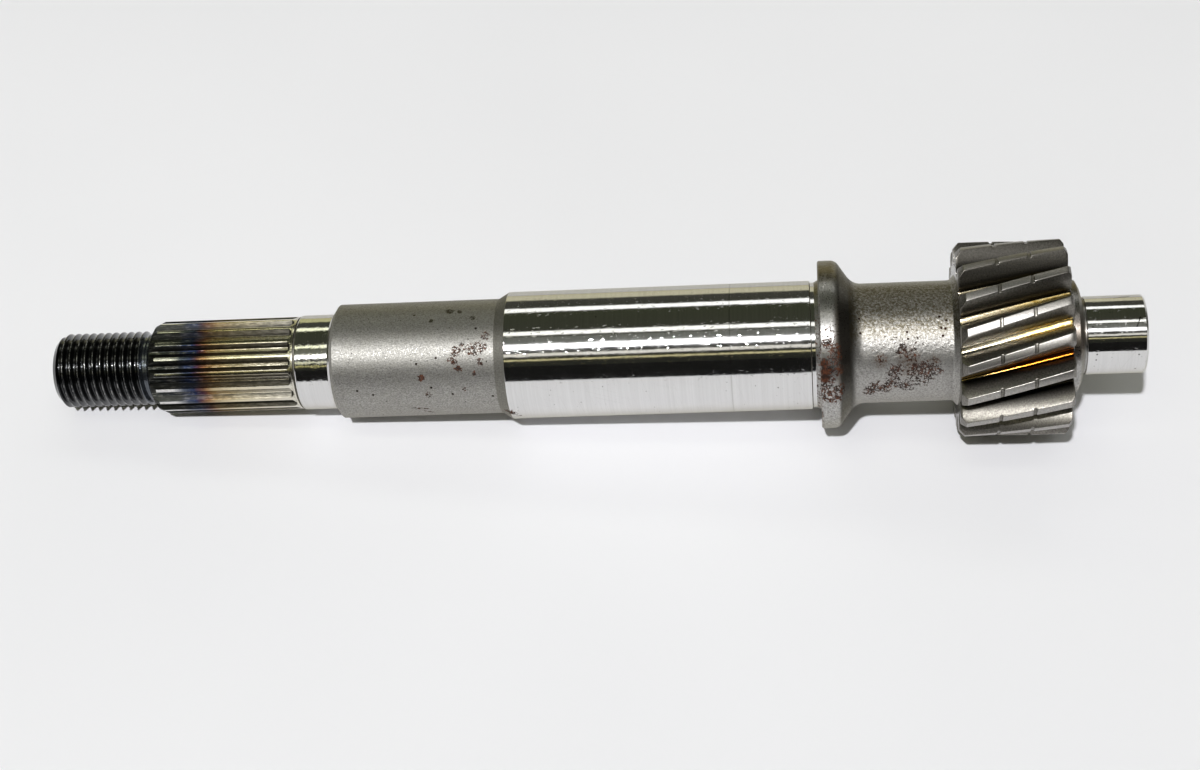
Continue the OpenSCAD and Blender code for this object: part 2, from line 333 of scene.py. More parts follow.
def thread(name):
    """A thread that winds round the axis and is cut off by a bevel at both ends."""
    per = len(CREST)
    turns = math.ceil((THREAD_END - THREAD_START) / PITCH) + 2
    total = per * turns
    verts, faces = [], []
    for j in range(THREAD_STEPS + 1):
        a = math.tau * j / THREAD_STEPS
        for i in range(total):
            u, h = CREST[i % per]
            x = THREAD_START + PITCH * (i // per - 1 + u + a / math.tau - THREAD_TURN)
            x = min(max(x, THREAD_START), THREAD_END)
            start_bevel = START_R + (x - THREAD_START) * START_RISE
            end_bevel = END_R + (THREAD_END - x) * END_RISE
            verts.append(at(x, min(THREAD_R + h, start_bevel, end_bevel), a))
    for j in range(THREAD_STEPS):
        for i in range(total - 1):
            p, q = j * total + i, (j + 1) * total + i
            # Beyond the ends all points of a line fall together
            if verts[p][0] == verts[p + 1][0] and verts[q][0] == verts[q + 1][0]:
                continue
            faces.append((p, q, q + 1, p + 1))
    cap = len(verts)
    for x, r in ((THREAD_START, START_R), (THREAD_END, END_R)):
        verts += [at(x, r, math.tau * j / THREAD_STEPS) for j in range(THREAD_STEPS)]
    faces.append(tuple(cap + j for j in reversed(range(THREAD_STEPS))))
    faces.append(tuple(cap + THREAD_STEPS + j for j in range(THREAD_STEPS)))
    return make_object(name, verts, faces, sharp=60)


stud = thread("shaft_thread")

# Pinion

TEETH, MODULE, HELIX, PRESSURE, SHIFT = 17, 1.5, math.radians(14.45), math.radians(20), 0.38
# Distance from the thrust face to the pinion's near face, and the face width
GEAR_X, GEAR_W = 20.8, 16.6
PITCH_R = TEETH * MODULE / math.cos(HELIX) / 2
# Tooth tips, tooth floors, the rounding between floor and flank, and the rounded edge of a tip
TIP_R, ROOT_R, ROOT_ROUND, EDGE = PITCH_R + 1.779, PITCH_R - 1.57, 0.5, 0.09
# Pressure angle in the plane across the axis, and the circle that the flanks unroll from
PLANE = math.atan(math.tan(PRESSURE) / math.cos(HELIX))
BASE_R = PITCH_R * math.cos(PLANE)
# Turn of the teeth for each millimetre, and where the first one stands
TWIST = math.tan(HELIX) / PITCH_R
GEAR_TURN = math.radians(1.9 - 90)


def roll(a):
    """Involute function."""
    return math.tan(a) - a


# Angle of half a tooth at the pitch circle and at the base circle
PITCH_HALF = (MODULE / math.cos(HELIX) * math.pi / 2 + 2 * SHIFT * MODULE * math.tan(PLANE)) / PITCH_R / 2
BASE_HALF = PITCH_HALF + roll(PLANE)
# Centre of the rounding at the foot of a tooth
ROUND_R = ROOT_R + ROOT_ROUND
ROUND_TURN = math.asin(ROOT_ROUND / ROUND_R)


def polar(r, a):
    return Vector((r * math.cos(a), r * math.sin(a)))


def half_at(r):
    """Angle of half a tooth at a radius."""
    return BASE_HALF - roll(math.acos(min(1, BASE_R / r)))


def tooth_side(top):
    """One side of a tooth: the rounding at its foot, the involute and the rounded edge of the tip."""
    turn = BASE_HALF + ROUND_TURN
    pts = []
    for k in range(6):
        b = turn + math.pi + k / 5 * (math.pi / 2 - ROUND_TURN)
        y = ROUND_R * math.cos(turn) + ROOT_ROUND * math.cos(b)
        z = ROUND_R * math.sin(turn) + ROOT_ROUND * math.sin(b)
        pts.append(Vector((y, z)))
    foot = ROUND_R * math.cos(ROUND_TURN)
    for k in range(1, 11):
        r = foot + (top - EDGE - foot) * k / 10
        pts.append(polar(r, half_at(r)))
    before, corner, after = pts[-1], polar(top, half_at(top)), polar(top, half_at(top) - EDGE / top)
    for t in (0.25, 0.5, 0.75, 1.0):
        pts.append(before * (1 - t) ** 2 + corner * 2 * t * (1 - t) + after * t * t)
    return pts


def gear_loop(x, drop, shrink=0.0):
    """Outline of the pinion at a distance from its near face.

    The tips are lower by drop, and the whole outline is drawn in by shrink.
    """
    top = TIP_R - drop
    side = tooth_side(top)
    tooth = [Vector((p.x, -p.y)) for p in side] + [Vector((top, 0))] + list(reversed(side))
    turn0 = GEAR_TURN - TWIST * x
    flat = []
    for i in range(TEETH):
        a = turn0 + math.tau * (i + 0.5) / TEETH
        c, s = math.cos(a), math.sin(a)
        flat += [Vector((p.x * c - p.y * s, p.x * s + p.y * c)) for p in tooth]
    n = len(flat)
    if shrink:
        moved = []
        for i in range(n):
            d = (flat[(i + 1) % n] - flat[i - 1]).normalized()
            moved.append(flat[i] - Vector((d.y, -d.x)) * shrink)
        flat = moved
    return [(x + GEAR_X + FACE, p.x, p.y) for p in flat]


# Half the section of a ring groove in the tooth tips, as (distance from its middle, depth)
GROOVE = [(-0.3, 0), (-0.28, 0.02), (-0.22, 0.2), (-0.19, 0.24), (-0.15, 0.25)]


def ring_groove(mid):
    return [(mid + u, deep) for u, deep in GROOVE] + [(mid - u, deep) for u, deep in reversed(GROOVE)]


def even(a, b, steps):
    """Outlines at full height, evenly spaced between two places."""
    return [(a + (b - a) * k / steps, 0) for k in range(1, steps)]


# Outlines along the pinion, as (distance from its near face, drop, shrink)
gear_places = [(0.0, 0.95, 0.07), (0.03, 0.93, 0.02), (0.07, 0.88), (0.4, 0.5), (0.78, 0.08), (0.84, 0.025)]
gear_places += [(0.92, 0)]
gear_places += even(0.92, 5.55, 9) + ring_groove(5.85) + even(6.15, 10.5, 8) + ring_groove(10.8)
gear_places += even(11.1, 16.0, 9) + [(16.02, 0), (16.1, 0.03), (16.2, 0.15), (16.5, 0.53)]
gear_places += [(16.55, 0.6, 0.02), (GEAR_W, 0.66, 0.07)]
pinion = loft("shaft_pinion", [gear_loop(*p) for p in gear_places], sharp=32)

# Materials


def rgba(colour):
    return (*colour, 1) if isinstance(colour, tuple) else colour


class Tree:
    """Short names for the nodes of a shader."""

    def __init__(self, tree):
        self.tree = tree
        tree.nodes.clear()

    def add(self, kind, **props):
        node = self.tree.nodes.new(kind)
        for k, v in props.items():
            setattr(node, k, v)
        return node

    def put(self, value, socket):
        """Links a socket to an input, or sets the input to a value."""
        if isinstance(value, bpy.types.NodeSocket):
            self.tree.links.new(value, socket)
        elif value is not None:
            socket.default_value = value

    def split(self, vector):
        n = self.add("ShaderNodeSeparateXYZ")
        self.put(vector, n.inputs[0])
        return n.outputs

    def math(self, op, a, b=None, clamp=False):
        n = self.add("ShaderNodeMath", operation=op, use_clamp=clamp)
        for v, socket in zip((a, b), n.inputs):
            self.put(v, socket)
        return n.outputs[0]

    def both(self, a, b):
        return self.math("MULTIPLY", a, b)

    def either(self, a, b):
        return self.math("MAXIMUM", a, b)

    def gap(self, a, b):
        """How far two values lie apart."""
        return self.math("ABSOLUTE", self.math("SUBTRACT", a, b))

    def rise(self, y, z):
        """Degrees up from the front horizon, seen from the shaft."""
        turn = self.math("ARCTAN2", z, self.math("MULTIPLY", y, -1.0))
        return self.math("MULTIPLY", turn, 180 / math.pi)

    def vec(self, op, a, b):
        n = self.add("ShaderNodeVectorMath", operation=op)
        self.put(a, n.inputs[0])
        self.put(b, n.inputs[1])
        return n.outputs["Value"] if op in ("DISTANCE", "DOT_PRODUCT") else n.outputs[0]

    def scaled(self, vector, amount):
        n = self.add("ShaderNodeVectorMath", operation="SCALE")
        self.put(vector, n.inputs[0])
        self.put(amount, n.inputs["Scale"])
        return n.outputs[0]

    def smooth(self, value, lo, hi, a=0.0, b=1.0):
        """Goes from a to b while the value goes from lo to hi."""
        n = self.add("ShaderNodeMapRange", interpolation_type="SMOOTHSTEP")
        self.put(value, n.inputs["Value"])
        for key, v in (("From Min", lo), ("From Max", hi), ("To Min", a), ("To Max", b)):
            n.inputs[key].default_value = v
        return n.outputs[0]

    def mix(self, fac, a, b):
        """Mixes two colours. Their sockets are 6 and 7 of the node, and the result is its output 2."""
        n = self.add("ShaderNodeMix", data_type="RGBA")
        self.put(fac, n.inputs[0])
        self.put(rgba(a), n.inputs[6])
        self.put(rgba(b), n.inputs[7])
        return n.outputs[2]

    def blend(self, fac, a, b):
        """Mixes two numbers."""
        n = self.add("ShaderNodeMix", data_type="FLOAT")
        self.put(fac, n.inputs[0])
        self.put(a, n.inputs[2])
        self.put(b, n.inputs[3])
        return n.outputs[0]

    def ramp(self, fac, stops):
        n = self.add("ShaderNodeValToRGB")
        el = n.color_ramp.elements
        while len(el) > 1:
            el.remove(el[-1])
        for i, (place, colour) in enumerate(stops):
            e = el[0] if i == 0 else el.new(place)
            e.position = place
            e.color = rgba(colour)
        self.put(fac, n.inputs[0])
        return n.outputs[0]


# How ragged the edge of a spot is, and the share of its radius over which it fades
RAGGED, FADE = 0.6, 0.95
# Noise from which a speck starts, and from which it is full
SPECK = (0.735, 0.775)


class Nodes(Tree):
    """A material, with the masks that its finish is made of. Places in it are in millimetres."""

    def __init__(self, name):
        self.mat = bpy.data.materials.new(name)
        self.mat.use_nodes = True
        super().__init__(self.mat.node_tree)
        out = self.add("ShaderNodeOutputMaterial")
        self.bsdf = self.add("ShaderNodeBsdfPrincipled")
        self.put(self.bsdf.outputs[0], out.inputs[0])
        self.pos = self.scaled(self.add("ShaderNodeTexCoord").outputs["Object"], 1 / MM)
        self.x, self.y, self.z = self.split(self.pos)
        self.bumps = None

    def noise(self, stretch, scale=1.0, detail=2.0, rough=0.5, offset=(0, 0, 0)):
        v = self.vec("ADD", self.vec("MULTIPLY", self.pos, stretch), offset)
        n = self.add("ShaderNodeTexNoise")
        self.put(v, n.inputs["Vector"])
        n.inputs["Scale"].default_value = scale
        n.inputs["Detail"].default_value = detail
        n.inputs["Roughness"].default_value = rough
        return n.outputs["Fac"]

    def past(self, start, end, a=0.0, b=1.0):
        """Goes from a to b between two distances from the thrust face."""
        return self.smooth(self.x, FACE + start, FACE + end, a, b)

    def radius(self):
        """Distance from the shaft's axis."""
        return self.math("SQRT", self.math("ADD", self.both(self.y, self.y), self.both(self.z, self.z)))

    def bump(self, height, strength, distance=0.1):
        n = self.add("ShaderNodeBump")
        n.inputs["Strength"].default_value = strength
        n.inputs["Distance"].default_value = distance * MM
        self.put(height, n.inputs["Height"])
        if self.bumps is not None:
            self.put(self.bumps, n.inputs["Normal"])
        self.bumps = n.outputs[0]
        self.put(self.bumps, self.bsdf.inputs["Normal"])

    def spot(self, place, radius):
        """1 inside a ragged patch round a place on the surface."""
        wob = self.noise((1, 1, 1), scale=1.1, detail=4, rough=0.7, offset=place)
        d = self.vec("DISTANCE", self.pos, place)
        d = self.math("ADD", d, self.math("MULTIPLY", self.math("SUBTRACT", wob, 0.5), RAGGED * radius * 2))
        return self.smooth(d, radius * (1 - FADE), radius, 1.0, 0.0)

    def scatter(self, area, grain, dense):
        """Specks that grow denser towards the middle of an area."""
        return self.smooth(self.math("ADD", grain, self.math("MULTIPLY", area, dense)), *SPECK)

    def patches(self, places):
        """Spots at several places (distance from the thrust face, y, z, radius) in one mask."""
        mask = None
        for x, y, z, size in places:
            one = self.spot((FACE + x, y, z), size)
            mask = one if mask is None else self.either(mask, one)
        return mask

    def veins(self, scale, width, offset):
        """Thin winding lines."""
        n = self.noise((1, 1, 1), scale=scale, rough=0.6, offset=offset)
        return self.smooth(self.gap(n, 0.5), width * 0.4, width, 1.0, 0.0)

    def lines(self, angle, pitch, cut, seed):
        """Sparse fine scratches that run at an angle to the axis, as a mask."""
        c, s = math.cos(angle), math.sin(angle)
        total, apart = self.math("ADD", self.y, self.z), self.math("SUBTRACT", self.y, self.z)
        across = self.math("ADD", self.both(self.x, c), self.both(total, s))
        along = self.math("SUBTRACT", self.both(apart, c), self.both(self.x, s))
        comb = self.add("ShaderNodeCombineXYZ")
        self.put(self.math("MULTIPLY", across, 1 / pitch), comb.inputs[0])
        self.put(self.math("MULTIPLY", along, 0.12), comb.inputs[1])
        comb.inputs[2].default_value = seed
        n = self.add("ShaderNodeTexNoise")
        self.put(comb.outputs[0], n.inputs["Vector"])
        n.inputs["Scale"].default_value = 1.0
        n.inputs["Detail"].default_value = 1.0
        return self.smooth(n.outputs["Fac"], cut, cut + 0.05)

    def around(self, amount):
        """Grinding lines run round the axis, so highlights stretch along it."""
        t = self.add("ShaderNodeTangent", direction_type="RADIAL", axis="X")
        self.put(t.outputs[0], self.bsdf.inputs["Tangent"])
        self.bsdf.inputs["Anisotropic"].default_value = amount
        self.bsdf.inputs["Anisotropic Rotation"].default_value = 0.25

    def gloss(self, level, tint=(1, 1, 1)):
        """Strength of the gloss on what isn't metal, and tint of the glancing reflections."""
        self.put(level, self.bsdf.inputs["Specular IOR Level"])
        self.put(rgba(tint), self.bsdf.inputs["Specular Tint"])

    def finish(self, colour, rough, metal=1.0):
        self.put(rgba(colour), self.bsdf.inputs["Base Color"])
        self.put(rough, self.bsdf.inputs["Roughness"])
        self.put(metal, self.bsdf.inputs["Metallic"])
        return self.mat


RUST_DARK, RUST_RED, OLIVE = (0.019, 0.009, 0.0065), (0.105, 0.034, 0.015), (0.055, 0.045, 0.022)
# Roughness and metal of rust, and how much of the steel a rust mask covers
RUST_ROUGH, RUST_METAL, RUST_COVER = 0.65, 0.2, 0.95
# Painted shade: dark for the collar's sloping back and the foot of the neck, standing in for the dim
# surroundings that they reflect
PAINTED_FLANK_SHADE = (0.055, 0.053, 0.048)
# Gloss of the rust and dirt on the steel, and tints of the steel's glancing reflections
DULL, OLIVE_TINT, WARM_TINT = 0.1, (0.66, 0.64, 0.57), (0.72, 0.70, 0.64)


def with_rust(m, mask, colour, rough, lo=0.4, hi=0.62):
    """Lays rust over a finish where the mask is 1."""
    tone = m.noise((1.8, 1.8, 1.8), detail=4, rough=0.7, offset=(3, 8, 1))
    rust = m.mix(m.smooth(tone, lo, hi), RUST_DARK, RUST_RED)
    return m.mix(mask, colour, rust), m.blend(mask, rough, RUST_ROUGH), m.blend(mask, 1.0, RUST_METAL)


def dots(m, places, radius=0.16):
    """Small dark pits at chosen places, measured along X from the thrust face."""
    mask = 0.0
    for x, y, z in places:
        d = m.vec("DISTANCE", m.pos, (FACE + x, y, z))
        mask = m.either(mask, m.smooth(d, radius * 0.6, radius, 1.0, 0.0))
    return mask


def stroke(m, a, b, width, wave=0.25):
    """A thin wavy mark between two places, measured along X from the thrust face."""
    a, b = Vector(a) + Vector((FACE, 0, 0)), Vector(b) + Vector((FACE, 0, 0))
    way = b - a
    wob = m.noise((1, 1, 1), scale=1.1, detail=2, offset=tuple(a))
    rel = m.vec("SUBTRACT", m.pos, tuple(a))
    t = m.math("DIVIDE", m.vec("DOT_PRODUCT", rel, tuple(way)), way.length_squared, clamp=True)
    d = m.vec("DISTANCE", rel, m.scaled(way, t))
    d = m.math("ADD", d, m.math("MULTIPLY", m.math("SUBTRACT", wob, 0.5), wave * 2))
    return m.smooth(d, width * 0.4, width, 1.0, 0.0)


def corner_rust(m):
    """Dark red rust where the cone meets the main journal, low on the front."""
    marks = m.either(
        stroke(m, (-49.4, -9.0, -3.3), (-47.2, -9.3, -3.3), 0.26),
        stroke(m, (-48.3, -8.5, -4.6), (-46.7, -8.9, -4.5), 0.24),
    )
    fine = m.noise((2.4, 2.4, 2.4), detail=4, rough=0.75, offset=(2, 2, 9))
    area = m.patches([(-48.0, -9.2, -3.3, 1.7), (-47.9, -9.3, -2.9, 0.8)])
    return m.either(marks, m.scatter(area, fine, 0.33))


def ground():
    """Mirror-ground journal with fine scratches."""
    m = Nodes("ground_steel")
    m.around(0.85)
    m.gloss(DULL, OLIVE_TINT)
    band = m.noise((7.0, 0.05, 0.05), detail=3, rough=0.7)
    m.bump(band, 0.03, 0.05)
    slow = m.noise((0.35, 0.3, 0.3), detail=2, offset=(9, 2, 5))
    m.bump(slow, 0.05, 0.3)
    m.bump(m.noise((0.9, 2.0, 2.0), detail=3, rough=0.7, offset=(4, 4, 2)), 0.04, 0.1)
    # The small journal is less even than the others
    wavy = m.noise((1.5, 0.9, 0.9), detail=3, rough=0.65, offset=(3, 5, 8))
    m.bump(m.both(m.past(-77.0, -75.5, 1.0, 0.0), wavy), 0.22, 0.12)
    nicks = m.smooth(m.noise((1.2, 3.0, 3.0), detail=2, rough=0.6, offset=(2, 7, 2)), 0.66, 0.72)
    m.bump(nicks, 0.09, 0.1)
    tone = m.ramp(
        m.noise((3.0, 0.04, 0.04), detail=4, rough=0.65, offset=(4, 1, 7)),
        [(0.3, (0.665, 0.66, 0.655)), (0.7, (0.745, 0.74, 0.735))],
    )
    marks = m.either(m.lines(0.25, 0.09, 0.69, 3.3), m.lines(-0.5, 0.12, 0.71, 8.1))
    marks = m.either(marks, m.lines(1.2, 0.12, 0.72, 1.7))
    colour = m.mix(m.both(marks, 0.22), tone, (0.45, 0.44, 0.42))
    rough = m.blend(marks, m.smooth(slow, 0.3, 0.7, 0.085, 0.125), 0.24)
    pits = m.smooth(m.noise((1.0, 1.0, 1.0), scale=2.6, detail=1, offset=(7, 7, 7)), 0.765, 0.79)
    colour = m.mix(pits, colour, (0.05, 0.045, 0.04))
    # Fine wear line on the main journal, not far from the collar
    line = m.math("SUBTRACT", 1.0, m.smooth(m.gap(m.x, FACE - 13.5), 0.05, 0.14))
    colour = m.mix(m.both(line, 0.35), colour, (0.3, 0.29, 0.28))
    # Scratches and pits on the end journal
    scar = m.either(
        stroke(m, (48.0, -2.3, 5.55), (47.4, -3.6, 4.85), 0.14, 0.12),
        stroke(m, (44.6, 2.1, 5.65), (46.9, 2.5, 5.5), 0.12, 0.12),
    )
    scar = m.either(scar, dots(m, [
        (47.7, -5.88, 1.22), (47.4, -5.71, -1.86), (41.5, -5.82, 1.46), (41.4, -5.98, 0.47),
        (40.9, -3.4, 4.9),
    ]))
    colour = m.mix(m.both(scar, 0.85), colour, (0.04, 0.036, 0.03))
    colour, rough, metal = with_rust(m, corner_rust(m), colour, rough)
    return m.finish(colour, rough, metal)


def turned():
    """Satin turned body with rust speckle."""
    m = Nodes("turned_steel")
    m.around(0.55)
    m.gloss(DULL, WARM_TINT)
    lines = m.noise((9.0, 0.04, 0.04), detail=2, rough=0.6)
    m.bump(lines, 0.24, 0.05)
    grain = m.noise((1.0, 1.6, 1.6), scale=3.6, detail=3, rough=0.75)
    m.bump(grain, 0.2, 0.09)
    tone = m.ramp(grain, [(0.3, (0.205, 0.2, 0.187)), (0.7, (0.57, 0.557, 0.526))])
    cloud = m.noise((0.5, 0.5, 0.5), detail=3, rough=0.6, offset=(8, 2, 2))
    tone = m.mix(m.smooth(cloud, 0.4, 0.7, 0.0, 0.25), tone, (0.33, 0.32, 0.28))
    tone = m.mix(m.past(-49.95, -49.7, 0.0, 0.5), tone, (0.12, 0.115, 0.085))
    # The face is dull, and only the tops of the grain are polished
    polish = m.noise((1.2, 2.0, 2.0), scale=4.4, detail=3, rough=0.7, offset=(1, 6, 3))
    rough = m.smooth(polish, 0.56, 0.66, 0.61, 0.36)
    fine = m.noise((2.4, 2.4, 2.4), detail=4, rough=0.75)
    veins = m.veins(2.1, 0.08, (3, 3, 3))
    band = m.patches([
        (-51.1, -4.0, 8.05, 1.2), (-51.8, -5.5, 7.1, 1.5), (-53.1, -5.8, 6.85, 1.6), (-54.4, -5.5, 7.1, 1.3),
        (-55.8, -5.9, 6.8, 1.3), (-56.2, -6.8, 5.9, 1.2), (-51.9, -7.0, 5.6, 0.9),
    ])
    mask = m.either(m.both(m.smooth(band, 0.25, 0.4), veins), m.scatter(band, fine, 0.24))
    dense = m.patches([(-55.4, -7.63, 4.77, 1.1), (-61.3, -8.23, 3.64, 1.05), (-56.2, -7.0, 5.6, 0.7)])
    mask = m.either(mask, m.scatter(dense, fine, 0.42))
    thin = m.patches([
        (-60.6, -8.97, 0.75, 1.3), (-54.7, -8.86, 1.57, 0.8), (-53.0, -8.04, 4.04, 0.8),
        (-51.9, -7.22, 5.37, 0.8),
    ])
    smear = m.either(
        stroke(m, (-63.4, -8.68, -2.4), (-61.2, -8.6, -2.7), 0.3),
        stroke(m, (-61.9, -8.3, -3.4), (-60.6, -8.05, -4.05), 0.25),
    )
    mask = m.either(mask, m.either(m.scatter(thin, fine, 0.32), m.both(smear, m.smooth(fine, 0.42, 0.5))))
    mask = m.either(mask, corner_rust(m))
    stains = m.patches([
        (-57.0, 1.02, 8.94, 0.9), (-55.4, 0.72, 8.97, 0.7), (-53.2, -0.78, 8.97, 0.7),
        (-59.7, -1.02, 8.94, 0.5), (-62.5, 0.3, 9.0, 0.3),
    ])
    tone = m.mix(m.both(m.smooth(stains, 0.1, 0.6), m.smooth(fine, 0.42, 0.5, 0.2, 0.85)), tone, OLIVE)
    pits = m.smooth(m.noise((1, 1, 1), scale=2.2, detail=1, offset=(1, 5, 2)), 0.765, 0.785)
    pits = m.either(pits, dots(m, [
        (-69.2, -8.94, 1.01), (-71.6, -8.81, 1.86), (-56.7, -8.97, 0.69), (-50.5, -9.0, 0.0),
        (-59.9, -8.77, 2.01), (-58.8, -6.55, 6.18), (-61.9, -7.08, 5.56), (-52.6, -2.75, 8.57),
    ], 0.24))
    tone = m.mix(pits, tone, (0.04, 0.03, 0.026))
    colour, rough, metal = with_rust(m, m.both(mask, RUST_COVER), tone, rough)
    return m.finish(colour, rough, metal)


def collar():
    """Satin collar with a rust patch and thin rust trails on its rim."""
    m = Nodes("collar_steel")
    m.around(0.6)
    m.gloss(DULL, OLIVE_TINT)
    lines = m.noise((6.0, 0.06, 0.06), detail=2, rough=0.6)
    m.bump(lines, 0.14, 0.06)
    grain = m.noise((1, 1, 1), scale=3.6, detail=3, rough=0.75)
    m.bump(grain, 0.17, 0.08)
    tone = m.ramp(grain, [(0.3, (0.24, 0.235, 0.225)), (0.7, (0.58, 0.57, 0.55))])
    cloud = m.noise((1, 1, 1), scale=0.9, detail=4, rough=0.7)
    top = m.both(m.smooth(m.y, -1.5, 2.0), m.smooth(cloud, 0.3, 0.6, 0.4, 0.85))
    tone = m.mix(top, tone, (0.16, 0.135, 0.085))
    brown = m.both(m.past(1.8, 2.9), m.both(m.smooth(m.z, 1.5, 4.5), m.smooth(m.y, -6.0, 0.0, 1.0, 0.0)))
    tone = m.mix(m.both(brown, 0.7), tone, (0.10, 0.068, 0.04))
    # Painted shade: the sloping back is painted dark, standing in for the dim surroundings that it reflects
    back = m.both(m.past(2.6, 3.1), m.past(4.6, 5.6, 1.0, 0.0))
    tone = m.mix(m.both(back, 0.85), tone, PAINTED_FLANK_SHADE)
    rough = m.smooth(grain, 0.5, 0.64, 0.42, 0.2)
    fine = m.noise((2.4, 2.4, 2.4), detail=4, rough=0.7, offset=(5, 5, 0))
    main = m.patches([(0.8, -11.7, 5.6, 1.9), (0.5, -11.2, 6.6, 1.3), (0.6, -12.2, 4.5, 1.3)])
    tone = m.mix(m.both(m.smooth(main, 0.1, 0.7), 0.7), tone, (0.06, 0.042, 0.034))
    mask = m.scatter(main, fine, 0.46)
    trails = m.patches([
        (0.5, -12.75, 2.6, 2.0), (1.7, -12.9, 1.5, 2.4), (2.9, -12.6, 2.3, 1.8), (1.2, -12.4, 4.0, 1.6),
    ])
    mask = m.either(mask, m.both(m.smooth(trails, 0.2, 0.35), m.veins(1.25, 0.09, (2, 9, 4))))
    mask = m.either(mask, m.scatter(trails, fine, 0.22))
    side = m.patches([
        (2.2, -10.0, 8.2, 1.9), (2.2, -10.8, 7.2, 1.8), (1.3, -9.4, 9.0, 1.6), (2.9, -11.6, 5.6, 1.5),
    ])
    threads = m.both(m.smooth(side, 0.3, 0.45), m.veins(2.0, 0.07, (8, 1, 4)))
    mask = m.either(mask, m.either(threads, m.scatter(side, fine, 0.29)))
    mask = m.either(mask, m.scatter(m.patches([(1.3, -8.4, 9.9, 3.6)]), fine, 0.20))
    edge = m.both(m.past(0.1, 0.45, 1.0, 0.0), m.smooth(m.y, -4.0, -2.0, 1.0, 0.0))
    mask = m.either(mask, m.both(edge, m.smooth(fine, 0.52, 0.58)))
    colour, rough, metal = with_rust(m, m.both(mask, RUST_COVER), tone, rough)
    return m.finish(colour, rough, metal)


def neck():
    """Forged and blasted neck with a heavy rust patch."""
    m = Nodes("neck_steel")
    m.gloss(DULL, WARM_TINT)
    grain = m.noise((1, 1, 1), scale=3.8, detail=4, rough=0.78)
    m.bump(grain, 0.5, 0.1)
    dents = m.noise((1, 1, 1), scale=1.6, detail=2, rough=0.5, offset=(2, 2, 2))
    m.bump(dents, 0.2, 0.3)
    tone = m.ramp(grain, [(0.3, (0.18, 0.174, 0.164)), (0.7, (0.57, 0.556, 0.53))])
    # Painted shade: the foot of the neck carries on the dark of the collar's sloping back
    tone = m.mix(m.past(4.6, 5.6, 0.85, 0.0), tone, PAINTED_FLANK_SHADE)
    rough = m.smooth(grain, 0.52, 0.66, 0.43, 0.27)
    coarse = m.noise((1.3, 1.3, 1.3), detail=5, rough=0.78, offset=(6, 3, 2))
    small = m.noise((2.6, 2.6, 2.6), detail=4, rough=0.75, offset=(1, 3, 9))
    veins = m.veins(1.45, 0.08, (5, 2, 1))
    top = m.both(m.smooth(m.z, 5.6, 8.0), m.smooth(m.y, 2.0, 5.0, 1.0, 0.0))
    tone = m.mix(m.both(top, m.smooth(small, 0.42, 0.56, 0.2, 0.85)), tone, (0.105, 0.088, 0.05))
    stain = m.patches([(9.1, -8.35, 3.9, 1.8), (17.0, -8.35, 3.9, 1.5), (13.3, -8.45, 3.75, 3.0)])
    tone = m.mix(m.both(stain, m.smooth(small, 0.4, 0.6, 0.2, 0.8)), tone, (0.11, 0.06, 0.028))
    core = m.patches([
        (12.6, -7.1, 5.9, 2.1), (13.6, -7.96, 4.71, 2.8), (14.2, -8.6, 3.4, 2.0), (11.7, -7.68, 5.15, 1.9),
    ])
    mask = m.either(m.scatter(core, coarse, 0.26), m.scatter(core, small, 0.25))
    mask = m.either(mask, m.scatter(m.patches([(9.1, -8.2, 4.3, 1.8)]), small, 0.27))
    trails = m.patches([
        (15.0, -9.08, 1.76, 3.0), (13.1, -9.24, -0.31, 1.9), (16.7, -8.8, 2.8, 2.3), (9.2, -9.23, -0.57, 2.4),
        (7.3, -9.14, -1.42, 1.6), (11.0, -9.23, 0.5, 1.8), (11.4, -8.9, 2.4, 1.9),
    ])
    mask = m.either(mask, m.both(m.smooth(trails, 0.16, 0.34), veins))
    mask = m.either(mask, m.scatter(trails, small, 0.26))
    specks = m.patches([(8.8, -6.8, 6.2, 3.4), (11.4, -6.6, 6.4, 3.2), (14.6, -6.8, 6.2, 3.0)])
    mask = m.either(mask, m.either(m.scatter(specks, small, 0.19), m.smooth(small, 0.72, 0.76)))
    sunny = m.both(m.smooth(m.z, 2.0, 5.0), m.smooth(m.y, 1.0, 4.0, 1.0, 0.0))
    mask = m.either(mask, m.both(m.scatter(sunny, small, 0.1), 0.8))
    colour, rough, metal = with_rust(m, m.both(mask, RUST_COVER), tone, rough, 0.46, 0.68)
    pits = dots(m, [
        (18.0, -3.73, 8.46), (19.0, -4.33, 8.17), (18.2, -5.32, 7.57), (18.8, -5.38, 7.52),
        (18.4, -6.23, 6.84), (13.2, -6.46, 6.62), (6.0, -3.67, 8.49), (6.1, -5.62, 7.35),
        (13.1, -5.66, 7.32), (10.3, -9.08, 1.77),
    ], 0.24)
    return m.finish(m.mix(pits, colour, RUST_DARK), rough, metal)


def black():
    """Glossy blackened thread with worn crests, and a grey relief behind it."""
    m = Nodes("blackened_steel")
    r = m.radius()
    grain = m.noise((1, 1, 1), scale=4.0, detail=3, rough=0.7)
    m.bump(grain, 0.25, 0.1)
    crest = m.smooth(r, 5.87, 5.915)
    worn = m.both(crest, m.smooth(m.noise((1.6, 1.6, 1.6), detail=3, rough=0.7, offset=(4, 4, 4)), 0.42, 0.6))
    colour = m.mix(worn, (0.013, 0.014, 0.015), (0.24, 0.24, 0.235))
    colour = m.mix(m.past(-107.4, -106.8), colour, (0.085, 0.095, 0.11))
    m.bsdf.inputs["Coat Weight"].default_value = 0.6
    m.bsdf.inputs["Coat Roughness"].default_value = 0.08
    return m.finish(colour, m.smooth(grain, 0.3, 0.7, 0.10, 0.22), 0.9)


